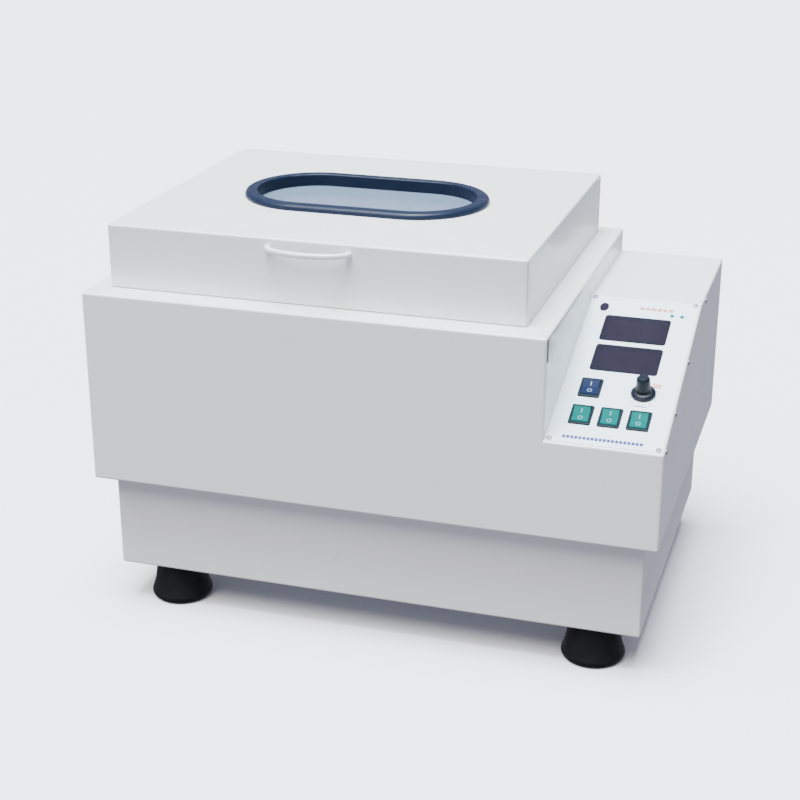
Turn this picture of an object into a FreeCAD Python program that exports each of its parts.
"""Bench-top shaking water bath: casing, lid with an oval window, stainless tank, orbital drive and controls.

Lengths are in millimetres. While it is being modelled, the object stands with its front left corner at the
origin: X runs right along the front, Y runs back and Z is the height above the bench. save() moves every
shape into the final frame, whose origin is the middle of the footprint on the bench.
"""

import FreeCAD, Part

import math
import os

from FreeCAD import Placement, Rotation, Vector

# --- driving dimensions -------------------------------------------------------------------------------------
CASE_WIDTH = 700.0  # upper casing, left side to control box side
CASE_DEPTH = 475.0
HOUSING_WIDTH = 565.0  # the part of the casing that holds the tank
FOOT_HEIGHT = 50.0
BASE_HEIGHT = 125.0
CASE_HEIGHT = 241.0
LID_HEIGHT = 78.0
SHEET = 1.5  # painted sheet steel
SEAM = 1.0  # open line between two sheets
BEND = 3.0  # outer radius of every folded edge
STAINLESS = 1.2
DRAIN_REACH = 55.0  # the drain spigot behind the casing
SCREW_R, SCREW_LENGTH = 1.5, 6.0
SCREW_HEAD_R, SCREW_HEAD, SCREW_ROUND = 3.2, 1.6, 1.2  # the pan heads stand out of the right side
RUNNING = 0.05  # radial clearance of a shaft or screw in its bore
CLEAR = 0.1  # clearance all round a piece set into an opening

BASE_Z = FOOT_HEIGHT
CASE_Z = BASE_Z + BASE_HEIGHT
DECK_Z = CASE_Z + CASE_HEIGHT
LID_TOP = DECK_Z + LID_HEIGHT
WIDTH_OVERALL = CASE_WIDTH + SCREW_HEAD
DEPTH_OVERALL = CASE_DEPTH + DRAIN_REACH

# base under the casing, set in all round
BASE_LEFT, BASE_RIGHT = 18.0, CASE_WIDTH - 18.0
BASE_FRONT, BASE_REAR = 24.0, CASE_DEPTH - 12.0
BASE_PLATE = 2.5
FOOT_INSET_LEFT, FOOT_INSET_RIGHT, FOOT_INSET_Y = 66.0, 60.0, 35.0
BOLT_R, BOLT_HEAD_R, BOLT_HEAD = 4.0, 7.0, 4.0
BOLT_SEAT = 12.0  # underside of the rubber that the bolt head presses on

# control box on the right of the housing
PANEL_RISE = 91.0
PANEL_RUN = 265.0
PANEL_FOOT_Z = CASE_Z + 119.5
CONTROL_TOP = PANEL_FOOT_Z + PANEL_RISE
PANEL_TILT = math.atan2(PANEL_RISE, PANEL_RUN)
PANEL_LENGTH = math.hypot(PANEL_RISE, PANEL_RUN)
PANEL_WIDTH = CASE_WIDTH - HOUSING_WIDTH
COVER_SCREWS_Y = (16.0, 78.0, 168.0)  # along the slope; the last screw is under the level top
COVER_SCREW_REAR_Y = 306.0
COVER_SCREW_DROP = 7.0
DECK_SEAM_INSET = 11.0  # the line where the deck laps over the partition wall's flange

# lid
LID_LEFT, LID_RIGHT = 24.0, 535.0
LID_FRONT, LID_REAR = 31.0, 453.0
LID_GAP = 1.0  # under the skirt
HEM_WIDTH, HEM_PROUD, HEM_MARGIN = 19.0, 0.6, 1.5  # the lap at the back of the lid's right side
LID_X, LID_Y = (LID_LEFT + LID_RIGHT) / 2, (LID_FRONT + LID_REAR) / 2
LINER_INSET = 21.0
LINER_TOP = LID_TOP - 21.0
LINER_CORNER, LINER_ROUND = 12.0, 6.0
LINER_FLANGE_Z = DECK_Z + 5.0
HINGE_Y, HINGE_Z = LID_REAR + 4.6, DECK_Z + 4.6
HINGE_CENTRES = (LID_LEFT + 90.0, LID_RIGHT - 90.0)
HINGE_LENGTH, HINGE_HEIGHT = 60.0, 26.0
HINGE_SCREW_DX, HINGE_SCREW_RISE = 18.0, 17.0
KNUCKLE_R, PIN_R, LEAF = 4.0, 2.0, 1.6

# lid handle: half of an oval ring, standing level out of the lid's front
HANDLE_X, HANDLE_Z = 277.0, LID_TOP - 15.0  # middle, underside
HANDLE_HALF, HANDLE_REACH = 53.0, 24.0
HANDLE_BAR, HANDLE_HEIGHT, HANDLE_ROUND = 7.0, 6.5, 2.6

# window in the lid: a slot shape, half length of its straight sides and end radius of each ring
WINDOW_X, WINDOW_Y = LID_X - 1.0, LID_Y - 3.0
WINDOW_HALF = 67.5
WINDOW_R = 89.0  # outer edge of the rubber
WINDOW_HOLE_R = WINDOW_R - 8.0  # in the lid's skin
GLASS_SIGHT_R = 73.0  # inner edge of the rubber
GLASS_R = GLASS_SIGHT_R + 5.0
GLASS_THICKNESS = 5.0
GLASS_TOP = LID_TOP - 8.0
GASKET_PROUD = 7.5

# tank
TANK_WIDTH, TANK_DEPTH = 450.0, 360.0
TANK_FLOOR = DECK_Z - 190.0
TANK_CORNER, TANK_FLOOR_ROUND = 20.0, 10.0
TANK_RIGHT, TANK_REAR = LID_X + TANK_WIDTH / 2, LID_Y + TANK_DEPTH / 2
TANK_FLANGE = 17.0
POST_DX, POST_DY = 190.0, 145.0  # post tubes from the tank's middle
POST_TUBE_R = 20.0
POST_TUBE_TOP = TANK_FLOOR + 150.0
HEATER_Z, HEATER_R = TANK_FLOOR + 18.0, 5.0
HEATER_HALF = 30.0  # half the distance between its two legs
HEATER_BEND_X = LID_X - 130.0
PROBE_Y, PROBE_Z, PROBE_R = LID_Y + 78.0, TANK_FLOOR + 40.0, 3.0

# drain at the back of the tank, and the mains inlet in the rear panel
DRAIN_X, DRAIN_Z = LID_X, TANK_FLOOR + 20.0
DRAIN_R, DRAIN_BORE_R = 8.0, 6.0
VALVE_Y = CASE_DEPTH + 18.0
VALVE_R, STEM_R = 13.0, 3.0
LEVER_Z = DRAIN_Z + 16.0
INLET_X, INLET_Z = 632.0, CASE_Z + 62.0
INLET_HALF_W, INLET_HALF_H = 14.0, 24.0

# orbital drive in the base
ORBIT = 10.0  # crank throw, so the platform runs in a 20 mm circle
DRIVE_X, DRIVE_Y = LID_X, LID_Y + 80.0
IDLER_DX, IDLER_Y = 140.0, LID_Y - 80.0
MOTOR_X = 612.0
FLOOR_PLATE = BASE_Z + SHEET + BASE_PLATE  # top of the plate in the base
PLATE_Z = BASE_Z + 100.0  # underside of the carriage plate
PULLEY_Z = BASE_Z + 44.0
PULLEY_HEIGHT = 12.0
DRIVEN_R, MOTOR_PULLEY_R = 55.0, 18.0
GROOVE = 5.0
BELT_THICKNESS = 6.0
CRANK_SHAFT_R, CRANK_PIN_R = 10.0, 8.0
IDLER_SHAFT_R, IDLER_PIN_R = 8.0, 6.0
WEB_Z, WEB = PULLEY_Z + PULLEY_HEIGHT + 5.0, 10.0  # crank webs: underside, thickness
MOTOR_R, MOTOR_HEIGHT, MOTOR_SHAFT_R = 38.0, 104.0, 5.0
BRACKET_Z, BRACKET = PULLEY_Z + PULLEY_HEIGHT + 3.0, 3.0
CARRIAGE_PLATE = 4.0
POST_R = 6.0
HANGER_REACH = 40.0
PLATFORM_Z = TANK_FLOOR + 26.0
PLATFORM_WIDTH, PLATFORM_DEPTH = 300.0, 320.0
RACK_Z = PLATFORM_Z + 48.0
SPRING_R = 2.4

# controls, placed on the sloping panel as (across, up the slope)
OVERLAY = 0.8
PANEL_CUT = 8.0  # reach of the cutting shapes each side of the panel's face
DISPLAYS = ((64.5, 216.5), (64.5, 158.5))
DISPLAY_WIDTH, DISPLAY_HEIGHT = 80.0, 50.0
SWITCHES = {
    "power_rocker": (33.5, 100.0),
    "heater_rocker": (32.5, 51.0),
    "shaker_rocker": (65.5, 51.0),
    "lamp_rocker": (98.5, 51.0),
}
DISPLAY_CORNER = 4.0
BEZEL_WIDTH, BEZEL_HEIGHT = 25.5, 33.0
SWITCH_HALF_W, SWITCH_HALF_H, SWITCH_BEHIND = 11.0, 14.3, 24.0
ROCKER_THROW = 8.0  # degrees each side of level
ROCKER_PIVOT = -4.0  # below the panel's face
ROCKER_PIN_R, ROCKER_PIN_HALF = 1.5, 10.5
KNOB = (95.0, 99.0)
KNOB_SKIRT_R, KNOB_HEIGHT = 14.3, 26.0
SHAFT_R, BUSH_R = 3.0, 5.0
LEDS = ((103.5, 250.5), (115.5, 250.5))
LED_R = 2.5
OVERLAY_SCREWS = ((5.0, 275.5), (128.0, 275.5), (5.0, 6.5), (128.0, 6.5))

UP, BACK, RIGHT = Vector(0, 0, 1), Vector(0, 1, 0), Vector(1, 0, 0)


# --- helpers ------------------------------------------------------------------------------------------------
def box(x0, x1, y0, y1, z0, z1):
    return Part.makeBox(x1 - x0, y1 - y0, z1 - z0, Vector(x0, y0, z0))


def cylinder(x, y, z, radius, height, axis=UP):
    return Part.makeCylinder(radius, height, Vector(x, y, z), axis)


def ring(x, y, z, outer, inner, height, axis=UP):
    hole = cylinder(x, y, z, inner, height, axis)
    return cylinder(x, y, z, outer, height, axis).cut(hole)


def fuse(first, *others):
    return first.fuse(list(others)).removeSplitter() if others else first


def fillet(shape, radius, wanted):
    """Rounds the edges whose middle point satisfies wanted(point)."""
    edges = [e for e in shape.Edges if wanted(e.BoundBox.Center)]
    return shape.makeFillet(radius, edges)


def upright_edges(shape):
    return [e for e in shape.Edges if e.BoundBox.ZLength > e.BoundBox.DiagonalLength - 1e-6]


def rounded_box(x0, x1, y0, y1, z0, z1, radius):
    """A box whose four upright edges are rounded."""
    block = box(x0, x1, y0, y1, z0, z1)
    return block.makeFillet(radius, upright_edges(block))


def prism(points, start, length, axis):
    """Extrudes a closed outline along an axis; points are (y, z) for RIGHT and (x, z) for BACK."""
    if axis == RIGHT:
        corners = [Vector(start, a, b) for a, b in points]
    else:
        corners = [Vector(a, start, b) for a, b in points]
    face = Part.Face(Part.makePolygon(corners + corners[:1]))
    return face.extrude(axis * length)


def slot(half, radius, z0, z1):
    """A solid round the window's middle with straight sides along X and semicircular ends."""
    middle = box(WINDOW_X - half, WINDOW_X + half, WINDOW_Y - radius, WINDOW_Y + radius, z0, z1)
    ends = [cylinder(WINDOW_X + side * half, WINDOW_Y, z0, radius, z1 - z0) for side in (-1, 1)]
    return fuse(middle, *ends)


def revolve(profile, x, y):
    """Turns a closed (radius, height) outline about the upright axis through x, y."""
    corners = [Vector(x + r, y, z) for r, z in profile]
    face = Part.Face(Part.makePolygon(corners + corners[:1]))
    return face.revolve(Vector(x, y, 0), UP, 360)


def on_panel(shape):
    """Moves a shape drawn flat (X across, Y up the slope, Z out of the panel) onto the sloping panel."""
    shape = shape.copy()
    turn = Rotation(RIGHT, math.degrees(PANEL_TILT))
    shape.Placement = Placement(Vector(HOUSING_WIDTH, 0, PANEL_FOOT_Z), turn).multiply(shape.Placement)
    return shape


def save(name, *shapes):
    shape = shapes[0] if len(shapes) == 1 else Part.makeCompound(list(shapes))
    shape = shape.copy()
    shape.translate(Vector(-WIDTH_OVERALL / 2, -DEPTH_OVERALL / 2, 0))
    assert shape.isValid() and shape.Volume > 0, name
    shape.exportStep(f"parts/{name}.step")


# --- upper casing: one folded shell, split where its sheets are welded or screwed ---------------------------
def control_outline(inset):
    """Side view of the control box as (y, z), drawn inset from its outer faces."""
    slope = math.tan(PANEL_TILT)
    lowered = inset / math.cos(PANEL_TILT)
    top = CONTROL_TOP - inset
    return [
        (inset, CASE_Z + inset),
        (inset, PANEL_FOOT_Z + inset * slope - lowered),
        ((top - PANEL_FOOT_Z + lowered) / slope, top),
        (CASE_DEPTH - inset, top),
        (CASE_DEPTH - inset, CASE_Z + inset),
    ]


def control_block(inset, left):
    return prism(control_outline(inset), left, CASE_WIDTH - inset - left, RIGHT)


def housing_block(inset):
    return box(inset, HOUSING_WIDTH - inset, inset, CASE_DEPTH - inset, CASE_Z + inset, DECK_Z - inset)


def casing_shell():
    overlap = HOUSING_WIDTH - 10
    housing = housing_block(0)
    housing = housing.makeFillet(BEND, housing.Edges)
    control = control_block(0, overlap)
    control = fillet(control, BEND, lambda p: p.x > overlap + 1)
    inner_bend = BEND - SHEET
    housing_space = housing_block(SHEET)
    housing_space = housing_space.makeFillet(inner_bend, housing_space.Edges)
    control_space = control_block(SHEET, HOUSING_WIDTH)
    control_space = fillet(control_space, inner_bend, lambda p: p.x > HOUSING_WIDTH + 1)
    return housing.fuse(control).cut(housing_space).cut(control_space).removeSplitter()


def casing_panels():
    shell = casing_shell()
    low, high = CASE_Z + BEND, DECK_Z - BEND
    near, far = BEND, CASE_DEPTH - BEND
    front_top = PANEL_FOOT_Z - BEND
    control_top = CONTROL_TOP - BEND
    across = box(-1, HOUSING_WIDTH, -1, near, low, high)
    under_panel = box(HOUSING_WIDTH, CASE_WIDTH + 1, -1, near, low, front_top)
    front = shell.common(fuse(across, under_panel))
    left = shell.common(box(-1, BEND, near, far, low, high))
    housing_rear = box(-1, HOUSING_WIDTH, far, CASE_DEPTH + 1, low, high)
    control_rear = box(HOUSING_WIDTH, CASE_WIDTH + 1, far, CASE_DEPTH + 1, low, control_top)
    rear = shell.common(fuse(housing_rear, control_rear))
    side_outline = prism(control_outline(BEND), CASE_WIDTH - BEND, BEND + 1, RIGHT)
    right = shell.common(side_outline)
    deck = shell.common(box(-1, HOUSING_WIDTH, -1, CASE_DEPTH + 1, high, DECK_Z + 1))
    partition = shell.common(box(HOUSING_WIDTH - BEND, HOUSING_WIDTH, near + SEAM, far, low, high))
    ledge = shell.common(box(-1, CASE_WIDTH + 1, -1, CASE_DEPTH + 1, CASE_Z - 1, low))
    cover = shell.common(box(HOUSING_WIDTH, CASE_WIDTH + 1, -1, CASE_DEPTH + 1, low, DECK_Z))
    cover = cover.cut(front).cut(right).cut(rear)
    return front, left, rear, right, deck, partition, ledge, cover


def side_screw_spots():
    """(y, z) of the screws that hold the control cover to the right panel."""
    slope = math.tan(PANEL_TILT)
    lowered = COVER_SCREW_DROP / math.cos(PANEL_TILT)
    spots = [(y, PANEL_FOOT_Z + y * slope - lowered) for y in COVER_SCREWS_Y]
    return spots + [(COVER_SCREW_REAR_Y, CONTROL_TOP - COVER_SCREW_DROP)]


def panel_cutouts(depth):
    """Everything that passes through the sloping panel, drawn flat."""
    cuts = []
    half_w, half_h = DISPLAY_WIDTH / 2, DISPLAY_HEIGHT / 2
    for x, y in DISPLAYS:
        edges = (x - half_w, x + half_w, y - half_h, y + half_h)
        cuts.append(rounded_box(*edges, -depth, depth, DISPLAY_CORNER))
    half_w, half_h = SWITCH_HALF_W + 2 * CLEAR, SWITCH_HALF_H + 2 * CLEAR
    for x, y in SWITCHES.values():
        cuts.append(box(x - half_w, x + half_w, y - half_h, y + half_h, -depth, depth))
    cuts.append(cylinder(*KNOB, -depth, BUSH_R + CLEAR, 2 * depth))
    cuts += [cylinder(x, y, -depth, LED_R + CLEAR, 2 * depth) for x, y in LEDS]
    cuts += [cylinder(x, y, -depth, SCREW_R + RUNNING, 2 * depth) for x, y in OVERLAY_SCREWS]
    return cuts


def cover_flange():
    """The strip inside the right panel that the side screws bite into."""
    reach, outside = 16.0, CASE_WIDTH - SHEET
    strip = prism(control_outline(SHEET / 2), outside - SHEET, SHEET, RIGHT)
    hollow = prism(control_outline(reach), outside - SHEET, SHEET, RIGHT)
    keep = box(0, CASE_WIDTH, BEND + 1, CASE_DEPTH - BEND - 1, PANEL_FOOT_Z - reach, CONTROL_TOP)
    return strip.cut(hollow).common(keep)


def vent_slots(x0, count, y, z, pitch=12.0, width=4.0, height=36.0):
    slots = []
    for i in range(count):
        x = x0 + i * pitch
        slots.append(box(x, x + width, y - BEND, y + BEND, z, z + height))
    return slots


def side_screw(y, z):
    head = cylinder(CASE_WIDTH, y, z, SCREW_HEAD_R, SCREW_HEAD, RIGHT)
    head = fillet(head, SCREW_ROUND, lambda p: p.x > CASE_WIDTH + 1)
    return fuse(head, cylinder(CASE_WIDTH - SCREW_LENGTH, y, z, SCREW_R, SCREW_LENGTH, RIGHT))


def save_casing():
    front, left, rear, right, deck, partition, ledge, cover = casing_panels()
    save("front_panel", front)
    save("left_panel", left)

    inlet_hole = box(
        INLET_X - INLET_HALF_W,
        INLET_X + INLET_HALF_W,
        CASE_DEPTH - BEND,
        CASE_DEPTH + BEND,
        INLET_Z - INLET_HALF_H,
        INLET_Z + INLET_HALF_H,
    )
    drain_hole = cylinder(DRAIN_X, CASE_DEPTH - BEND, DRAIN_Z, DRAIN_R + 5 * CLEAR, 2 * BEND, BACK)
    vents_left, vents_drop, vent_count = HOUSING_WIDTH + 22.0, 70.0, 8
    vents = vent_slots(vents_left, vent_count, CASE_DEPTH, CONTROL_TOP - vents_drop)
    save("rear_panel", rear.cut([inlet_hole, drain_hole, *vents]))

    screw_holes = [
        cylinder(CASE_WIDTH - SCREW_LENGTH, y, z, SCREW_R + RUNNING, SCREW_LENGTH, RIGHT)
        for y, z in side_screw_spots()
    ]
    save("right_panel", right.cut(screw_holes))

    margin = 2.0
    opening = tank_block(margin, DECK_Z - BEND, DECK_Z + BEND)
    seam_x = HOUSING_WIDTH - DECK_SEAM_INSET
    seam = box(seam_x - SEAM, seam_x, BEND, CASE_DEPTH - BEND, DECK_Z - SHEET / 2, DECK_Z)
    save("top_deck", deck.cut([opening, seam]))

    wire_r, wire_z = 6.0, DRAIN_Z + 4.0
    wire_rows = (LID_Y - HEATER_HALF, LID_Y + HEATER_HALF, PROBE_Y)
    wire_holes = [cylinder(HOUSING_WIDTH - BEND, y, wire_z, wire_r, BEND, RIGHT) for y in wire_rows]
    save("partition_wall", partition.cut(wire_holes))

    low, high = CASE_Z - BEND, CASE_Z + BEND
    ledge_left, ledge_right, ledge_front, ledge_rear, corner = 52.0, 12.0, 60.0, 58.0, 12.0
    middle = rounded_box(
        ledge_left, HOUSING_WIDTH - ledge_right, ledge_front, CASE_DEPTH - ledge_rear, low, high, corner
    )
    motor_hole = cylinder(MOTOR_X, DRIVE_Y, low, MOTOR_R + 6, high - low)
    save("case_ledge", ledge.cut([middle, motor_hole]))

    cover = fuse(cover, cover_flange()).cut([on_panel(c) for c in panel_cutouts(PANEL_CUT)])
    save("control_cover", cover.cut(screw_holes))


# --- base, feet ---------------------------------------------------------------------------------------------
def foot_spots():
    for x in (BASE_LEFT + FOOT_INSET_LEFT, BASE_RIGHT - FOOT_INSET_RIGHT):
        for y in (BASE_FRONT + FOOT_INSET_Y, BASE_REAR - FOOT_INSET_Y):
            yield x, y


def foot(x, y):
    """A moulded rubber foot, waisted at the top and flared over a rounded sole, with a bolt pocket."""
    collar_r, flare_r, sole_r = 31.5, 38.3, 33.5
    flare_z, collar_z = 9.0, FOOT_HEIGHT - 4.0
    sole_bulge = Vector(flare_r - 1.2, 0, 2.6)
    waist = Vector(collar_r + 1.8, 0, flare_z + 17.0)
    middle, sole = Vector(0, 0, 0), Vector(sole_r, 0, 0)
    flare, neck = Vector(flare_r, 0, flare_z), Vector(collar_r, 0, collar_z)
    rim, crown = Vector(collar_r, 0, FOOT_HEIGHT), Vector(0, 0, FOOT_HEIGHT)
    outline = [
        Part.LineSegment(middle, sole),
        Part.Arc(sole, sole_bulge, flare),
        Part.Arc(flare, waist, neck),
        Part.LineSegment(neck, rim),
        Part.LineSegment(rim, crown),
        Part.LineSegment(crown, middle),
    ]
    wire = Part.Wire([piece.toShape() for piece in outline])
    body = Part.Face(wire).revolve(middle, UP, 360)
    pocket = cylinder(0, 0, 0, BOLT_HEAD_R + 2, BOLT_SEAT)
    body = body.cut([pocket, cylinder(0, 0, 0, BOLT_R + CLEAR, FOOT_HEIGHT)])
    body.translate(Vector(x, y, 0))
    return body


def foot_bolt(x, y):
    nut_height = 5.0
    head = cylinder(x, y, BOLT_SEAT - BOLT_HEAD, BOLT_HEAD_R, BOLT_HEAD)
    nut = cylinder(x, y, FLOOR_PLATE, BOLT_HEAD_R, nut_height)
    shank = cylinder(x, y, BOLT_SEAT, BOLT_R, FLOOR_PLATE + 2 * BOLT_HEAD - BOLT_SEAT)
    return fuse(head, nut, shank)


def save_base():
    outer = rounded_box(BASE_LEFT, BASE_RIGHT, BASE_FRONT, BASE_REAR, BASE_Z, CASE_Z, BEND)
    outer = fillet(outer, BEND, lambda p: p.z < BASE_Z + 0.1)
    inner = rounded_box(
        BASE_LEFT + SHEET,
        BASE_RIGHT - SHEET,
        BASE_FRONT + SHEET,
        BASE_REAR - SHEET,
        BASE_Z + SHEET,
        CASE_Z,
        BEND - SHEET,
    )
    turned_in, corner = 16.0, 4.0
    floor_opening = rounded_box(
        BASE_LEFT + turned_in,
        BASE_RIGHT - turned_in,
        BASE_FRONT + turned_in,
        BASE_REAR - turned_in,
        BASE_Z,
        BASE_Z + SHEET,
        corner,
    )
    vents_left, vents_rise, vent_count = MOTOR_X - 60.0, 44.0, 9
    vents = vent_slots(vents_left, vent_count, BASE_REAR, BASE_Z + vents_rise)
    save("base_shell", outer.cut([inner, floor_opening, *vents]))

    gap = 0.5
    plate = box(
        BASE_LEFT + SHEET + gap,
        BASE_RIGHT - SHEET - gap,
        BASE_FRONT + SHEET + gap,
        BASE_REAR - SHEET - gap,
        BASE_Z + SHEET,
        FLOOR_PLATE,
    )
    spacer_r = 14.0
    holes = [cylinder(x, y, BASE_Z, BOLT_R + CLEAR, FLOOR_PLATE - BASE_Z) for x, y in foot_spots()]
    spacers = [cylinder(x, y, BASE_Z, spacer_r, SHEET) for x, y in foot_spots()]
    save("base_plate", fuse(plate, *spacers).cut(holes))
    save("rubber_feet", *[foot(x, y) for x, y in foot_spots()])
    save("foot_bolts", *[foot_bolt(x, y) for x, y in foot_spots()])


# --- tank ---------------------------------------------------------------------------------------------------
def tank_block(grow, z0, z1):
    return rounded_box(
        LID_X - TANK_WIDTH / 2 - grow,
        LID_X + TANK_WIDTH / 2 + grow,
        LID_Y - TANK_DEPTH / 2 - grow,
        LID_Y + TANK_DEPTH / 2 + grow,
        z0,
        z1,
        TANK_CORNER + grow,
    )


def post_spots():
    for sx in (-1, 1):
        for sy in (-1, 1):
            yield LID_X + sx * POST_DX, LID_Y + sy * POST_DY


def save_tank():
    floor = TANK_FLOOR - STAINLESS
    outer = tank_block(STAINLESS, floor, DECK_Z + STAINLESS)
    outer = fillet(outer, TANK_FLOOR_ROUND, lambda p: p.z < floor + 0.1)
    inner = tank_block(0, TANK_FLOOR, DECK_Z + 2 * STAINLESS)
    inner = fillet(inner, TANK_FLOOR_ROUND - STAINLESS, lambda p: p.z < TANK_FLOOR + 0.1)
    flange = tank_block(TANK_FLANGE, DECK_Z, DECK_Z + STAINLESS)
    wall = 2 * STAINLESS
    holes = [cylinder(x, y, floor, POST_TUBE_R + RUNNING, wall) for x, y in post_spots()]
    for y, z, radius in (
        (LID_Y - HEATER_HALF, HEATER_Z, HEATER_R),
        (LID_Y + HEATER_HALF, HEATER_Z, HEATER_R),
        (PROBE_Y, PROBE_Z, PROBE_R),
    ):
        holes.append(cylinder(TANK_RIGHT - STAINLESS, y, z, radius + RUNNING, 2 * wall, RIGHT))
    holes.append(cylinder(DRAIN_X, TANK_REAR - STAINLESS, DRAIN_Z, DRAIN_R + RUNNING, 2 * wall, BACK))
    save("tank", fuse(outer, flange).cut([inner, *holes]))

    height = POST_TUBE_TOP - floor
    tubes = [ring(x, y, floor, POST_TUBE_R, POST_TUBE_R - STAINLESS, height) for x, y in post_spots()]
    save("tank_post_tubes", *tubes)
    save_insulation()


def save_insulation():
    """Wool packed round the tank, with a bay for the heater's terminals and a way through for the drain."""
    gap, below, bay_reach, bay_margin = 4.0, 30.0, 46.0, 14.0
    bottom = TANK_FLOOR - below
    jacket = box(gap, HOUSING_WIDTH - gap, gap, CASE_DEPTH - gap, bottom, DECK_Z - gap)
    terminal_bay = box(
        TANK_RIGHT,
        TANK_RIGHT + bay_reach,
        LID_Y - HEATER_HALF - bay_margin,
        PROBE_Y + bay_margin,
        HEATER_Z - bay_margin,
        PROBE_Z + bay_margin,
    )
    drain_way = cylinder(DRAIN_X, LID_Y, DRAIN_Z, 2 * DRAIN_R, CASE_DEPTH, BACK)
    cuts = [tank_block(STAINLESS, TANK_FLOOR - STAINLESS, DECK_Z), terminal_bay, drain_way]
    cuts += [cylinder(x, y, bottom, POST_TUBE_R + 1, below) for x, y in post_spots()]
    save("tank_insulation", jacket.cut(cuts))


def save_heater():
    run_end = TANK_RIGHT + 18
    terminal_r, terminal_length = 2.0, 12.0
    nut_r, inner_nut, outer_nut = 9.0, 4.0, 5.0
    legs, nuts = [], []
    for side in (-1, 1):
        y = LID_Y + side * HEATER_HALF
        legs.append(cylinder(HEATER_BEND_X, y, HEATER_Z, HEATER_R, run_end - HEATER_BEND_X, RIGHT))
        legs.append(cylinder(run_end, y, HEATER_Z, terminal_r, terminal_length, RIGHT))
        for x, thickness in ((TANK_RIGHT - inner_nut, inner_nut), (TANK_RIGHT + STAINLESS, outer_nut)):
            nuts.append(ring(x, y, HEATER_Z, nut_r, HEATER_R + RUNNING, thickness, RIGHT))
    bend = Part.makeTorus(HEATER_HALF, HEATER_R, Vector(HEATER_BEND_X, LID_Y, HEATER_Z), UP)
    bend = bend.common(box(0, HEATER_BEND_X, 0, CASE_DEPTH, 0, LID_TOP))
    save("heater_element", fuse(legs[0], bend, *legs[1:]), *nuts)

    reach, length, gland_r, gland_length = 46.0, 66.0, 7.0, 9.0
    sheath = cylinder(TANK_RIGHT - reach, PROBE_Y, PROBE_Z, PROBE_R, length, RIGHT)
    tip = Part.makeSphere(PROBE_R, Vector(TANK_RIGHT - reach, PROBE_Y, PROBE_Z))
    gland = cylinder(TANK_RIGHT + STAINLESS, PROBE_Y, PROBE_Z, gland_r, gland_length, RIGHT)
    save("temperature_probe", fuse(sheath, tip, gland))


def save_drain():
    nut, lip_r, lip = 5.0, 11.0, 4.0
    start = TANK_REAR - lip
    neck_height, stem_seat = 14.5, DRAIN_Z + 4
    body = Part.makeSphere(VALVE_R, Vector(DRAIN_X, VALVE_Y, DRAIN_Z))
    pipe = cylinder(DRAIN_X, start, DRAIN_Z, DRAIN_R, DEPTH_OVERALL - start, BACK)
    outer_nut = cylinder(DRAIN_X, CASE_DEPTH + 2 * CLEAR, DRAIN_Z, VALVE_R, nut, BACK)
    inner_nut = cylinder(DRAIN_X, TANK_REAR + STAINLESS, DRAIN_Z, VALVE_R, nut, BACK)
    rim = cylinder(DRAIN_X, start, DRAIN_Z, lip_r, lip, BACK)
    neck = cylinder(DRAIN_X, VALVE_Y, DRAIN_Z, DRAIN_BORE_R, neck_height)
    ball_half = 10.0
    inlet_bore = cylinder(DRAIN_X, start, DRAIN_Z, DRAIN_BORE_R, VALVE_Y - ball_half - start, BACK)
    outlet = VALVE_Y + ball_half
    outlet_bore = cylinder(DRAIN_X, outlet, DRAIN_Z, DRAIN_BORE_R, DEPTH_OVERALL - outlet, BACK)
    stem_bore = cylinder(DRAIN_X, VALVE_Y, stem_seat, STEM_R + RUNNING, LEVER_Z - stem_seat)
    valve = fuse(pipe, body, outer_nut, inner_nut, rim, neck)
    save("drain_valve", valve.cut([inlet_bore, outlet_bore, stem_bore]))

    reach, half_width, thick, corner = 52.0, 5.0, 2.5, 4.5
    hub_r, hub = 7.0, 4.0
    stem = cylinder(DRAIN_X, VALVE_Y, stem_seat + 1, STEM_R, LEVER_Z + hub - stem_seat - 1)
    boss = cylinder(DRAIN_X, VALVE_Y, LEVER_Z - 1, hub_r, hub)
    tip = DRAIN_X - reach
    arm = box(tip, DRAIN_X, VALVE_Y - half_width, VALVE_Y + half_width, LEVER_Z, LEVER_Z + thick)
    arm = arm.makeFillet(corner, [e for e in upright_edges(arm) if e.BoundBox.Center.x < tip + 1])
    save("drain_lever", fuse(stem, boss, arm))


# --- lid ----------------------------------------------------------------------------------------------------
def lid_block(inset, z0, z1, corner):
    """A rounded block as large as the lid, drawn in by inset on all four sides."""
    edges = (LID_LEFT + inset, LID_RIGHT - inset, LID_FRONT + inset, LID_REAR - inset)
    return rounded_box(*edges, z0, z1, corner)


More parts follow.
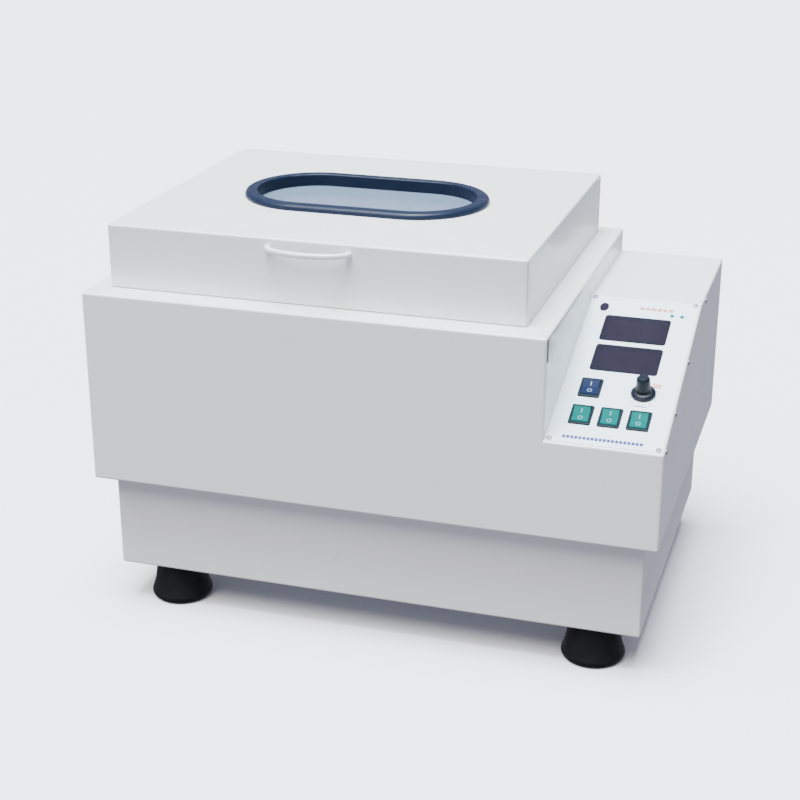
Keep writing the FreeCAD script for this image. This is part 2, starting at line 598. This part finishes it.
def save_lid():
    skirt_z = DECK_Z + LID_GAP
    outer = box(LID_LEFT, LID_RIGHT, LID_FRONT, LID_REAR, skirt_z, LID_TOP)
    outer = fillet(outer, BEND, lambda p: p.z > skirt_z + 0.1)
    hollow = box(
        LID_LEFT + SHEET,
        LID_RIGHT - SHEET,
        LID_FRONT + SHEET,
        LID_REAR - SHEET,
        skirt_z,
        LID_TOP - SHEET,
    )
    hollow = fillet(hollow, BEND - SHEET, lambda p: p.z > skirt_z + 0.1)
    sight = slot(WINDOW_HALF, WINDOW_HOLE_R, LINER_TOP, LID_TOP)
    screw_holes = [cylinder(x, y, z, SCREW_R + RUNNING, BEND, BACK) for x, y, z in lid_screw_spots()]
    hem_z = skirt_z + HEM_MARGIN, LID_TOP - BEND - HEM_MARGIN
    hem_y = LID_REAR - BEND - HEM_WIDTH, LID_REAR - BEND
    hem = box(LID_RIGHT - SHEET / 2, LID_RIGHT + HEM_PROUD, *hem_y, *hem_z)
    save("lid_shell", fuse(outer.cut([hollow, sight, *screw_holes]), hem))

    flange = lid_block(SHEET + 2 * CLEAR, LINER_FLANGE_Z, LINER_FLANGE_Z + STAINLESS, BEND)
    pan = lid_block(LINER_INSET, LINER_FLANGE_Z, LINER_TOP, LINER_CORNER)
    pan = fillet(pan, LINER_ROUND, lambda p: p.z > LINER_TOP - 0.1)
    ceiling = LINER_TOP - STAINLESS
    space = lid_block(LINER_INSET + STAINLESS, LINER_FLANGE_Z - 1, ceiling, LINER_CORNER - STAINLESS)
    space = fillet(space, LINER_ROUND - STAINLESS, lambda p: p.z > ceiling - 0.1)
    sight = slot(WINDOW_HALF, GLASS_SIGHT_R + 4, ceiling - 1, LINER_TOP)
    save("lid_liner", fuse(flange, pan).cut([space, sight]))

    seal_inset, seal_width, seal_height = 15.0, 5.0, 3.4
    bottom = LINER_FLANGE_Z - seal_height
    seal = lid_block(seal_inset, bottom, LINER_FLANGE_Z, LINER_CORNER)
    within = lid_block(seal_inset + seal_width, bottom, LINER_FLANGE_Z, LINER_CORNER - seal_width + 1)
    save("lid_seal", seal.cut(within))


def save_window():
    rim_top, rim_round, inner_round = LID_TOP + GASKET_PROUD, 5.8, 2.0
    lip = slot(WINDOW_HALF, WINDOW_R, LID_TOP, rim_top)
    lip = fillet(lip, rim_round, lambda p: p.z > rim_top - 0.1)
    neck = slot(WINDOW_HALF, WINDOW_HOLE_R - 2 * CLEAR, LINER_TOP, LID_TOP)
    under = LID_TOP - SHEET - 2 * CLEAR
    lower_lip_r, lower_lip = WINDOW_R - 4, 3.3
    lower = slot(WINDOW_HALF, lower_lip_r, under - lower_lip, under)
    opening = slot(WINDOW_HALF, GLASS_SIGHT_R, LINER_TOP, rim_top)
    glass_bottom = GLASS_TOP - GLASS_THICKNESS
    groove = slot(WINDOW_HALF, GLASS_R + CLEAR, glass_bottom, GLASS_TOP)
    gasket = fuse(lip, neck, lower).cut([opening, groove])
    gasket = fillet(gasket, inner_round, lambda p: p.z > rim_top - 0.1)
    save("window_gasket", gasket)
    save("window_pane", slot(WINDOW_HALF, GLASS_R, glass_bottom, GLASS_TOP))


def handle_oval(half, reach):
    """A level oval plate centred on the lid's front face, as thick as the handle is high."""
    centre = Vector(HANDLE_X, LID_FRONT, HANDLE_Z)
    oval = Part.Ellipse(centre, half, reach).toShape()
    return Part.Face(Part.Wire([oval])).extrude(UP * HANDLE_HEIGHT)


def save_handle():
    """A bow handle: the front half of an oval ring, with all its long edges rounded."""
    bow = handle_oval(HANDLE_HALF, HANDLE_REACH)
    bow = bow.cut(handle_oval(HANDLE_HALF - HANDLE_BAR, HANDLE_REACH - HANDLE_BAR))
    bow = bow.makeFillet(HANDLE_ROUND, [e for e in bow.Edges if e.BoundBox.ZLength < 0.1])
    bow = bow.common(box(0, CASE_WIDTH, 0, LID_FRONT, HANDLE_Z, LID_TOP))
    thread = SCREW_LENGTH - SHEET + CLEAR
    holes = []
    for x, _, z in handle_screw_spots():
        holes.append(cylinder(x, LID_FRONT - thread, z, SCREW_R + RUNNING, thread, BACK))
    save("lid_handle", bow.cut(holes))


def handle_screw_spots():
    middle = HANDLE_HALF - HANDLE_BAR / 2
    return [(HANDLE_X + side * middle, LID_FRONT - 1, HANDLE_Z + HANDLE_HEIGHT / 2) for side in (-1, 1)]


def hinge_screw_spots():
    spots = []
    for centre in HINGE_CENTRES:
        for side in (-1, 1):
            x = centre + side * HINGE_SCREW_DX
            spots.append((x, LID_REAR - SHEET - CLEAR, HINGE_Z + HINGE_SCREW_RISE))
    return spots


def lid_screw_spots():
    return handle_screw_spots() + hinge_screw_spots()


def hinge_knuckles(centre, owner):
    """Knuckle tubes of one leaf: owner 0 has the outer and middle ones, owner 1 those between."""
    count, gap = 5, 0.3
    length = HINGE_LENGTH / count
    start = centre - HINGE_LENGTH / 2
    return [
        (start + i * length + gap / 2, length - gap) for i in range(count) if i % 2 == owner
    ]


def hinge_leaf(centre, owner):
    """owner 0 is the leaf screwed to the deck, owner 1 the leaf screwed to the lid."""
    clear = KNUCKLE_R + 0.6
    if owner == 0:
        y0, y1 = HINGE_Y + clear, CASE_DEPTH - BEND
        plate = box(centre - HINGE_LENGTH / 2, centre + HINGE_LENGTH / 2, y0, y1, DECK_Z, DECK_Z + LEAF)
    else:
        z0, z1 = HINGE_Z + clear, HINGE_Z + HINGE_HEIGHT
        plate = box(centre - HINGE_LENGTH / 2, centre + HINGE_LENGTH / 2, LID_REAR, LID_REAR + LEAF, z0, z1)
    pieces = []
    for x, length in hinge_knuckles(centre, owner):
        pieces.append(cylinder(x, HINGE_Y, HINGE_Z, KNUCKLE_R, length, RIGHT))
        if owner == 0:
            pieces.append(box(x, x + length, HINGE_Y, HINGE_Y + clear, DECK_Z, DECK_Z + LEAF))
        else:
            pieces.append(box(x, x + length, LID_REAR, LID_REAR + LEAF, HINGE_Z, HINGE_Z + clear))
    bore = cylinder(centre - HINGE_LENGTH, HINGE_Y, HINGE_Z, PIN_R + RUNNING, 2 * HINGE_LENGTH, RIGHT)
    return fuse(plate, *pieces).cut(bore)


def back_screw(x, seat, z, length):
    """A pan-head screw that enters towards the front; its head sits on the face at y = seat."""
    head = cylinder(x, seat, z, SCREW_HEAD_R, SCREW_HEAD, BACK)
    return fuse(head, cylinder(x, seat - length, z, SCREW_R, length, BACK))


def save_hinges():
    save("hinge_deck_leaves", *[hinge_leaf(c, 0) for c in HINGE_CENTRES])
    holes = [cylinder(x, y, z, SCREW_R + RUNNING, 2 * BEND, BACK) for x, y, z in hinge_screw_spots()]
    save("hinge_lid_leaves", *[hinge_leaf(c, 1).cut(holes) for c in HINGE_CENTRES])
    reach = HINGE_LENGTH / 2 + 1
    pins = [cylinder(c - reach, HINGE_Y, HINGE_Z, PIN_R, 2 * reach, RIGHT) for c in HINGE_CENTRES]
    save("hinge_pins", *pins)

    screws = [back_screw(x, LID_FRONT + SHEET, z, SCREW_LENGTH) for x, _, z in handle_screw_spots()]
    screws += [back_screw(x, LID_REAR + LEAF, z, BEND + LEAF) for x, _, z in hinge_screw_spots()]
    save("lid_screws", *screws)


# --- orbital drive ------------------------------------------------------------------------------------------
def idler_spots():
    return {"left": (LID_X - IDLER_DX, IDLER_Y), "right": (LID_X + IDLER_DX, IDLER_Y)}


def pulley(x, y, radius, bore):
    """A belt pulley with a groove; its rim is one millimetre and a half each side of the belt's space."""
    z0, z1 = PULLEY_Z, PULLEY_Z + PULLEY_HEIGHT
    rim = 1.5
    return revolve(
        [
            (bore, z0),
            (radius, z0),
            (radius, z0 + rim),
            (radius - GROOVE, z0 + rim),
            (radius - GROOVE, z1 - rim),
            (radius, z1 - rim),
            (radius, z1),
            (bore, z1),
        ],
        x,
        y,
    )


def belt_loop(grow, z0, z1):
    """The outline of a belt round both pulleys, at a distance grow from the groove floors."""
    big, small = DRIVEN_R - GROOVE + grow, MOTOR_PULLEY_R - GROOVE + grow
    span = MOTOR_X - DRIVE_X
    angle = math.acos((big - small) / span)
    c, s = math.cos(angle), math.sin(angle)

    def spot(x, y):
        return Vector(DRIVE_X + x, DRIVE_Y + y, z0)

    edges = [
        Part.Arc(spot(big * c, big * s), spot(-big, 0), spot(big * c, -big * s)).toShape(),
        Part.LineSegment(spot(big * c, -big * s), spot(span + small * c, -small * s)).toShape(),
        Part.Arc(
            spot(span + small * c, -small * s), spot(span + small, 0), spot(span + small * c, small * s)
        ).toShape(),
        Part.LineSegment(spot(span + small * c, small * s), spot(big * c, big * s)).toShape(),
    ]
    return Part.Face(Part.Wire(edges)).extrude(UP * (z1 - z0))


def crank(x, y, foot_z, shaft_r, pin_r, web):
    """A crank with a shaft at x, y, a shouldered pin on its throw and the given web between them."""
    shoulder_r, shoulder_gap = pin_r + 4, 0.2
    web_top = WEB_Z + WEB
    shaft = cylinder(x, y, foot_z, shaft_r, WEB_Z - foot_z)
    pin = cylinder(x + ORBIT, y, web_top, pin_r, PLATE_Z + CARRIAGE_PLATE - web_top)
    shoulder = cylinder(x + ORBIT, y, web_top, shoulder_r, PLATE_Z - shoulder_gap - web_top)
    return fuse(shaft, web, pin, shoulder)


def crank_web(x, y, hub_r, throw_r):
    return fuse(cylinder(x, y, WEB_Z, hub_r, WEB), cylinder(x + ORBIT, y, WEB_Z, throw_r, WEB))


def counterweight(radius, hub_r):
    """The disc behind the main crank, flat on the side of the throw."""
    disc = cylinder(DRIVE_X, DRIVE_Y, WEB_Z, radius, WEB)
    heavy_side = box(
        DRIVE_X - radius,
        DRIVE_X - hub_r / 4,
        DRIVE_Y - radius,
        DRIVE_Y + radius,
        WEB_Z,
        WEB_Z + WEB,
    )
    return disc.common(heavy_side)


def stepped_post(x, y, base_r, base, post_r, top):
    """A bearing post with a wide base, standing on the floor plate."""
    post = cylinder(x, y, FLOOR_PLATE, post_r, top - FLOOR_PLATE)
    return fuse(cylinder(x, y, FLOOR_PLATE, base_r, base), post)


def save_drive():
    hub_r, weight_r = 16.0, 42.0
    bearing_r, bearing_h, ball_r = 17.5, 10.0, 2.4
    foot_z = FLOOR_PLATE + 4
    low_bearing, high_bearing = foot_z, PULLEY_Z - 4 - bearing_h
    web = fuse(crank_web(DRIVE_X, DRIVE_Y, hub_r, hub_r), counterweight(weight_r, hub_r))
    save("drive_crank", crank(DRIVE_X, DRIVE_Y, foot_z, CRANK_SHAFT_R, CRANK_PIN_R, web))
    save("driven_pulley", pulley(DRIVE_X, DRIVE_Y, DRIVEN_R, CRANK_SHAFT_R + RUNNING))

    base = 5.0
    housing_top, post_top, seat_z = PULLEY_Z - 3, WEB_Z - 2, FLOOR_PLATE + 3
    housing = stepped_post(DRIVE_X, DRIVE_Y, 40.0, base, 24.0, housing_top)
    housings = [housing.cut(cylinder(DRIVE_X, DRIVE_Y, seat_z, bearing_r + RUNNING, housing_top - seat_z))]
    for x, y in idler_spots().values():
        post = stepped_post(x, y, 32.0, base, 18.0, post_top)
        housings.append(post.cut(cylinder(x, y, seat_z, IDLER_SHAFT_R + RUNNING, post_top - seat_z)))
    save("bearing_housings", *housings)

    bearings = []
    for z in (low_bearing, high_bearing):
        centre = Vector(DRIVE_X, DRIVE_Y, z + bearing_h)
        groove = Part.makeTorus((CRANK_SHAFT_R + bearing_r) / 2, ball_r, centre, UP)
        race = ring(DRIVE_X, DRIVE_Y, z, bearing_r, CRANK_SHAFT_R + RUNNING, bearing_h)
        bearings.append(race.cut(groove))
    save("ball_bearings", *bearings)

    idler_hub_r, idler_throw_r = 14.0, 12.0
    for side, (x, y) in idler_spots().items():
        web = crank_web(x, y, idler_hub_r, idler_throw_r)
        save(f"idler_crank_{side}", crank(x, y, foot_z, IDLER_SHAFT_R, IDLER_PIN_R, web))

    slack, edge = 0.3, 2.0
    low, high = PULLEY_Z + edge, PULLEY_Z + PULLEY_HEIGHT - edge
    belt = belt_loop(slack + BELT_THICKNESS, low, high)
    save("drive_belt", belt.cut(belt_loop(slack, low, high)))


def save_motor():
    foot_z = BRACKET_Z + BRACKET
    shaft_top = BRACKET_Z + 4
    shaft_foot = PULLEY_Z - 2
    shaft = cylinder(MOTOR_X, DRIVE_Y, shaft_foot, MOTOR_SHAFT_R, shaft_top - shaft_foot)
    save("motor_pulley", fuse(pulley(MOTOR_X, DRIVE_Y, MOTOR_PULLEY_R, MOTOR_SHAFT_R - CLEAR), shaft))

    rounding, bore_depth, cap_r, cap = 4.0, 7.0, 14.0, 6.0
    box_half, box_reach, box_drop, box_height = 16.0, 12.0, 24.0, 22.0
    top = foot_z + MOTOR_HEIGHT
    can = cylinder(MOTOR_X, DRIVE_Y, foot_z, MOTOR_R, MOTOR_HEIGHT)
    can = fillet(can, rounding, lambda p: p.z > top - 1)
    bore = cylinder(MOTOR_X, DRIVE_Y, foot_z, MOTOR_SHAFT_R + RUNNING, bore_depth)
    end_cap = cylinder(MOTOR_X, DRIVE_Y, top, cap_r, cap)
    terminal_box = box(
        MOTOR_X - box_half,
        MOTOR_X + box_half,
        DRIVE_Y - MOTOR_R - box_reach,
        DRIVE_Y - MOTOR_R / 2,
        top - box_drop,
        top - box_drop + box_height,
    )
    save("motor", fuse(can, end_cap, terminal_box).cut(bore))

    half, toe = 46.0, 15.0
    left, right = MOTOR_X - half, MOTOR_X + half
    pieces = [box(left, right, DRIVE_Y - half, DRIVE_Y + half, BRACKET_Z, foot_z)]
    for side in (-1, 1):
        near, outside = DRIVE_Y + side * (half - BRACKET), DRIVE_Y + side * half
        tip = outside + side * toe
        pieces.append(box(left, right, min(near, outside), max(near, outside), FLOOR_PLATE, foot_z))
        pieces.append(box(left, right, min(near, tip), max(near, tip), FLOOR_PLATE, FLOOR_PLATE + BRACKET))
    boss_hole = cylinder(MOTOR_X, DRIVE_Y, BRACKET_Z, 2 * MOTOR_SHAFT_R, BRACKET)
    save("motor_bracket", fuse(*pieces).cut(boss_hole))


# --- carriage: everything that orbits. At rest the crank points to +X, so it stands ORBIT to the right ------
CARRIAGE_X = LID_X + ORBIT


def carriage_posts():
    for x, y in post_spots():
        yield x + ORBIT, y


def save_carriage():
    half_w, half_d, corner = 215.0, 165.0, 20.0
    plate = rounded_box(
        CARRIAGE_X - half_w,
        CARRIAGE_X + half_w,
        LID_Y - half_d,
        LID_Y + half_d,
        PLATE_Z,
        PLATE_Z + CARRIAGE_PLATE,
        corner,
    )
    spots = [(x, y, IDLER_PIN_R) for x, y in idler_spots().values()] + [(DRIVE_X, DRIVE_Y, CRANK_PIN_R)]
    holes = [cylinder(x + ORBIT, y, PLATE_Z, r + RUNNING, CARRIAGE_PLATE) for x, y, r in spots]
    opening_dx, opening_front, opening_side, opening_corner = 100.0, 10.0, 110.0, 18.0
    for side in (-1, 1):
        left = CARRIAGE_X + side * opening_dx - opening_side / 2
        front = LID_Y + opening_front
        holes.append(
            rounded_box(
                left,
                left + opening_side,
                front,
                front + opening_side + opening_front,
                PLATE_Z,
                PLATE_Z + CARRIAGE_PLATE,
                opening_corner,
            )
        )
    save("carriage_plate", plate.cut(holes))
    save_posts()
    save_platform()


def save_posts():
    """Four posts up through the tank's tubes, each with a flat hanger down to the platform."""
    foot_z, top = PLATE_Z + CARRIAGE_PLATE, POST_TUBE_TOP + 14
    half_width, strap = 9.0, 3.0
    posts, hangers = [], []
    for x, y in carriage_posts():
        inward = 1 if x < CARRIAGE_X else -1
        posts.append(cylinder(x, y, foot_z, POST_R, top - foot_z))
        tip = x + inward * HANGER_REACH
        heel, back = x - inward * half_width, tip - inward * strap
        near, far = y - half_width, y + half_width
        hangers.append(box(min(heel, tip), max(heel, tip), near, far, top, top + strap))
        hangers.append(box(min(back, tip), max(back, tip), near, far, PLATFORM_Z, top))
    save("platform_posts", *posts)
    save("platform_hangers", *hangers)


def save_platform():
    x0, x1 = CARRIAGE_X - PLATFORM_WIDTH / 2, CARRIAGE_X + PLATFORM_WIDTH / 2
    y0, y1 = LID_Y - PLATFORM_DEPTH / 2, LID_Y + PLATFORM_DEPTH / 2
    sheet, rim = 2.0, 12.0
    tray_top = PLATFORM_Z + sheet
    tray = box(x0, x1, y0, y1, PLATFORM_Z, tray_top)
    rims = [box(x0, x1, y, y + sheet, tray_top, tray_top + rim) for y in (y0, y1 - sheet)]
    hole_r, hole_count = 6.0, 7
    hole_pitch_x, hole_pitch_y = 38.0, 42.0
    holes = []
    for i in range(hole_count):
        for j in range(hole_count):
            x = CARRIAGE_X + (i - (hole_count - 1) / 2) * hole_pitch_x
            y = LID_Y + (j - (hole_count - 1) / 2) * hole_pitch_y
            holes.append(cylinder(x, y, PLATFORM_Z, hole_r, sheet))
    save("flask_platform", tray.cut(holes), *rims)

    bar, rack_height = 8.0, 12.0
    rack_top = RACK_Z + rack_height
    bars = [box(x0, x1, y, y + bar, RACK_Z, rack_top) for y in (y0, y1 - bar)]
    bars += [box(x, x + bar, y0 + bar, y1 - bar, RACK_Z, rack_top) for x in (x0, x1 - bar)]
    uprights = [
        box(x, x + bar, y, y + bar, tray_top, RACK_Z)
        for x in (x0, x1 - bar)
        for y in (y0 + sheet, y1 - bar - sheet)
    ]
    save("spring_rack", *bars, *uprights)

    upper, lower, spring_count = RACK_Z + 9.0, RACK_Z + 3.0, 7
    springs = []
    for y in spring_rows(y0 + bar, y1 - bar, spring_count):
        springs.append(cylinder(x0 + bar, y, upper, SPRING_R, x1 - x0 - 2 * bar, RIGHT))
    for x in spring_rows(x0 + bar, x1 - bar, spring_count):
        springs.append(cylinder(x, y0 + bar, lower, SPRING_R, y1 - y0 - 2 * bar, BACK))
    save("rack_springs", *springs)


def spring_rows(start, end, count):
    pitch = (end - start) / (count + 1)
    return [start + pitch * (i + 1) for i in range(count)]


# --- control panel ------------------------------------------------------------------------------------------
def save_panel():
    left, lower, right, upper = 1.0, 2.5, 2.5, 1.0  # bare metal left showing round the overlay
    plate = box(left, PANEL_WIDTH - right, lower, PANEL_LENGTH - upper, 0, OVERLAY)
    save("panel_overlay", on_panel(plate.cut(panel_cutouts(PANEL_CUT))))

    screws = [side_screw(y, z) for y, z in side_screw_spots()]
    for x, y in OVERLAY_SCREWS:
        head = cylinder(x, y, OVERLAY, SCREW_HEAD_R, SCREW_HEAD)
        head = fillet(head, SCREW_ROUND, lambda p: p.z > OVERLAY + 1)
        shank = cylinder(x, y, OVERLAY - SCREW_LENGTH, SCREW_R, SCREW_LENGTH)
        screws.append(on_panel(fuse(head, shank)))
    save("casing_screws", *screws)
    save_displays()

    behind = 6.0
    lamps = []
    for x, y in LEDS:
        dome = Part.makeSphere(LED_R, Vector(x, y, OVERLAY))
        stem = cylinder(x, y, -behind, LED_R, behind + OVERLAY)
        lamps.append(on_panel(fuse(dome, stem)))
    save("indicator_leds", *lamps)


def save_displays():
    """A tinted pane in each opening, and behind it a digit module on its small board."""
    pane_back, pane_proud = -1.2, OVERLAY + 0.6
    module_half_w, module_half_h, module_depth = 32.0, 14.0, 12.0
    board_half_w, board_half_h, board = 38.0, 23.0, 2.0
    half_w, half_h = DISPLAY_WIDTH / 2 - 2 * CLEAR, DISPLAY_HEIGHT / 2 - 2 * CLEAR
    module_front = pane_back - 2 * CLEAR
    module_back = module_front - module_depth
    panes, modules = [], []
    for x, y in DISPLAYS:
        edges = (x - half_w, x + half_w, y - half_h, y + half_h)
        panes.append(on_panel(rounded_box(*edges, pane_back, pane_proud, DISPLAY_CORNER)))
        edges = (x - module_half_w, x + module_half_w, y - module_half_h, y + module_half_h)
        module = box(*edges, module_back, module_front)
        edges = (x - board_half_w, x + board_half_w, y - board_half_h, y + board_half_h)
        modules.append(on_panel(fuse(module, box(*edges, module_back - board, module_back))))
    save("display_windows", *panes)
    save("display_modules", *modules)


def switch_housing(x, y):
    """The fixed part of a rocker switch: a bezel on the panel over a hollow body behind it."""
    w, h = BEZEL_WIDTH / 2, BEZEL_HEIGHT / 2
    bezel_corner, bezel_round = 2.0, 0.8
    bezel_top = OVERLAY + 2.2
    bezel = rounded_box(x - w, x + w, y - h, y + h, OVERLAY, bezel_top, bezel_corner)
    bezel = fillet(bezel, bezel_round, lambda p: p.z > bezel_top - 0.1)
    edges = (x - SWITCH_HALF_W, x + SWITCH_HALF_W, y - SWITCH_HALF_H, y + SWITCH_HALF_H)
    body = box(*edges, -SWITCH_BEHIND, OVERLAY + 0.5)
    well_half_w, well_half_h, well_depth = 9.8, 13.6, 14.0
    edges = (x - well_half_w, x + well_half_w, y - well_half_h, y + well_half_h)
    well = box(*edges, -well_depth, bezel_top)
    pivot_half = ROCKER_PIN_HALF + CLEAR
    pivot = cylinder(x - pivot_half, y, ROCKER_PIVOT, ROCKER_PIN_R + RUNNING, 2 * pivot_half, RIGHT)
    blade_half_w, blade_half_t, blade_pitch, blade_length = 3.0, 0.4, 9.0, 9.0
    blades = []
    for row in (-1, 0, 1):
        blade_y = y + row * blade_pitch
        edges = (x - blade_half_w, x + blade_half_w, blade_y - blade_half_t, blade_y + blade_half_t)
        blades.append(box(*edges, -SWITCH_BEHIND - blade_length, -SWITCH_BEHIND))
    return fuse(bezel, body, *blades).cut([well, pivot])


def rocker(x, y):
    """The moving part, tipped so that its lower half is flush and its upper half stands up."""
    half, half_width, foot_half = 11.8, 9.4, 7.0
    centre, bottom, rounding = OVERLAY + 2.4, -9.0, 0.7
    rise = half * math.tan(math.radians(ROCKER_THROW))
    outline = [
        (y - half, centre + rise),
        (y, centre),
        (y + half, centre + rise),
        (y + foot_half, bottom),
        (y - foot_half, bottom),
    ]
    cap = prism(outline, x - half_width, 2 * half_width, RIGHT)
    cap = fillet(cap, rounding, lambda p: p.z > centre + rise - 0.1 and abs(p.x - x) < 0.1)
    pin = cylinder(x - ROCKER_PIN_HALF, y, ROCKER_PIVOT, ROCKER_PIN_R, 2 * ROCKER_PIN_HALF, RIGHT)
    body = fuse(cap, pin)
    body.rotate(Vector(x, y, ROCKER_PIVOT), RIGHT, ROCKER_THROW)
    return body


def save_switches():
    save("switch_housings", *[on_panel(switch_housing(x, y)) for x, y in SWITCHES.values()])
    for name, (x, y) in SWITCHES.items():
        save(name, on_panel(rocker(x, y)))


def save_knob():
    """A fluted knob with a flared skirt, pressed on the shaft of a potentiometer behind the panel."""
    x, y = KNOB
    base = OVERLAY + 1.0
    skirt_height, skirt_slope, waist_z = 2.2, 2.3, base + 5.2
    waist_r, grip_foot_r, grip_r, crown_r = 9.6, 8.6, 7.6, 6.0
    bore_top, bevel = KNOB_HEIGHT - 8.0, 2.0
    profile = [
        (SHAFT_R, base),
        (KNOB_SKIRT_R, base),
        (KNOB_SKIRT_R, base + skirt_height),
        (KNOB_SKIRT_R - skirt_slope, base + skirt_height + bevel),
        (waist_r, waist_z),
        (grip_foot_r, base + 8),
        (grip_r, KNOB_HEIGHT - bevel),
        (crown_r, KNOB_HEIGHT),
        (0, KNOB_HEIGHT),
        (0, bore_top),
        (SHAFT_R, bore_top),
    ]
    flute_count, flute_r, flute_circle, flute_z = 12, 1.3, 9.2, base + 6.5
    flutes = []
    for i in range(flute_count):
        turn = 2 * math.pi * i / flute_count
        spot = x + flute_circle * math.cos(turn), y + flute_circle * math.sin(turn)
        flutes.append(cylinder(*spot, flute_z, flute_r, KNOB_HEIGHT))
    knob = revolve(profile, x, y).cut(flutes)

    shaft_foot, body_back, body_front, body_r = -11.0, -16.0, -1.6, 12.0
    shaft = cylinder(x, y, shaft_foot, SHAFT_R - RUNNING, bore_top - CLEAR - shaft_foot)
    save("speed_knob", on_panel(knob), on_panel(shaft))

    body = cylinder(x, y, body_back, body_r, body_front - body_back)
    bush = cylinder(x, y, body_front, BUSH_R, OVERLAY - body_front)
    bore = cylinder(x, y, shaft_foot - 1, SHAFT_R + RUNNING, OVERLAY - shaft_foot + 1)
    save("potentiometer", on_panel(fuse(body, bush).cut(bore)))


def save_electrics():
    board, board_front, board_rear = 1.6, 300.0, 440.0
    board_z = CONTROL_TOP - 60.0
    top = board_z + board
    left, right = HOUSING_WIDTH + 12.0, CASE_WIDTH - 18.0
    rail = 3.0
    capacitor_r, capacitor_height, capacitor_y = 9.0, 25.0, 380.0
    relay_height, chip_height = 16.4, 12.4
    connector_front, connector_rear = 415.0, 432.0
    pieces = [
        box(left, right, board_front, board_rear, board_z, top),
        box(HOUSING_WIDTH, left, board_front, board_rear, board_z, board_z + rail),
        box(left + 10, left + 40, board_front + 20, board_front + 45, top, top + relay_height),
        box(left + 54, left + 84, board_front + 20, board_front + 40, top, top + chip_height),
        box(left + 10, left + 88, connector_front, connector_rear, top, top + chip_height),
    ]
    for dx in (28.0, 58.0):
        pieces.append(cylinder(left + dx, capacitor_y, top, capacitor_r, capacitor_height))
    save("control_board", fuse(*pieces))
    save_transformer(HOUSING_WIDTH + 26.0, 110.0, CASE_Z + SHEET)


def save_transformer(x0, y0, z0):
    width, depth, height = 70.0, 24.0, 58.0
    winding, overhang, tab, tab_height = 10.0, 14.0, 12.0, 2.0
    core = box(x0, x0 + width, y0, y0 + depth, z0, z0 + height)
    coil = box(
        x0 + tab,
        x0 + width - tab,
        y0 - overhang,
        y0 + depth + overhang,
        z0 + winding,
        z0 + height - winding,
    )
    inset = depth / 6
    tabs = box(x0 - tab, x0 + width + tab, y0 + inset, y0 + depth - inset, z0, z0 + tab_height)
    save("transformer", fuse(core, coil, tabs))


def save_inlet():
    """An appliance inlet with a fuse drawer, drawn flat with Z pointing out of the rear panel."""
    flange_w, flange_h, flange_z, corner, rounding = 17.0, 27.0, 3.0, 3.0, 1.0
    body_w, body_h, body_depth = INLET_HALF_W - 2 * CLEAR, INLET_HALF_H - 2 * CLEAR, 26.0
    well_w, well_low, well_high, well_depth = 12.0, -18.0, -2.0, 18.0
    drawer_w, drawer_low, drawer_high, drawer_z = 11.0, 5.0, 19.0, 3.8
    pin_w, pin_h, pin_y, pin_dx, earth_dy = 1.0, 2.0, -12.0, 7.0, 4.0
    pin_depth, pin_front = 20.0, 3.0

    flange = rounded_box(-flange_w, flange_w, -flange_h, flange_h, 0, flange_z, corner)
    flange = fillet(flange, rounding, lambda p: p.z > flange_z - 0.1)
    body = box(-body_w, body_w, -body_h, body_h, -body_depth, 0)
    well = rounded_box(-well_w, well_w, well_low, well_high, -well_depth, flange_z, corner)
    drawer = box(-drawer_w, drawer_w, drawer_low, drawer_high, flange_z, drawer_z)
    pins = []
    for dx, dy in ((-pin_dx, 0), (0, earth_dy), (pin_dx, 0)):
        y = pin_y + dy
        pins.append(box(dx - pin_w, dx + pin_w, y - pin_h, y + pin_h, -pin_depth, -pin_front))
    inlet = fuse(fuse(flange, body, drawer).cut(well), *pins)
    facing_back = Rotation(UP, 180).multiply(Rotation(RIGHT, 90))
    inlet.Placement = Placement(Vector(INLET_X, CASE_DEPTH, INLET_Z), facing_back)
    save("mains_inlet", inlet)


def main():
    os.makedirs("parts", exist_ok=True)
    save_casing()
    save_base()
    save_tank()
    save_heater()
    save_drain()
    save_lid()
    save_window()
    save_handle()
    save_hinges()
    save_drive()
    save_motor()
    save_carriage()
    save_panel()
    save_switches()
    save_knob()
    save_electrics()
    save_inlet()


main()
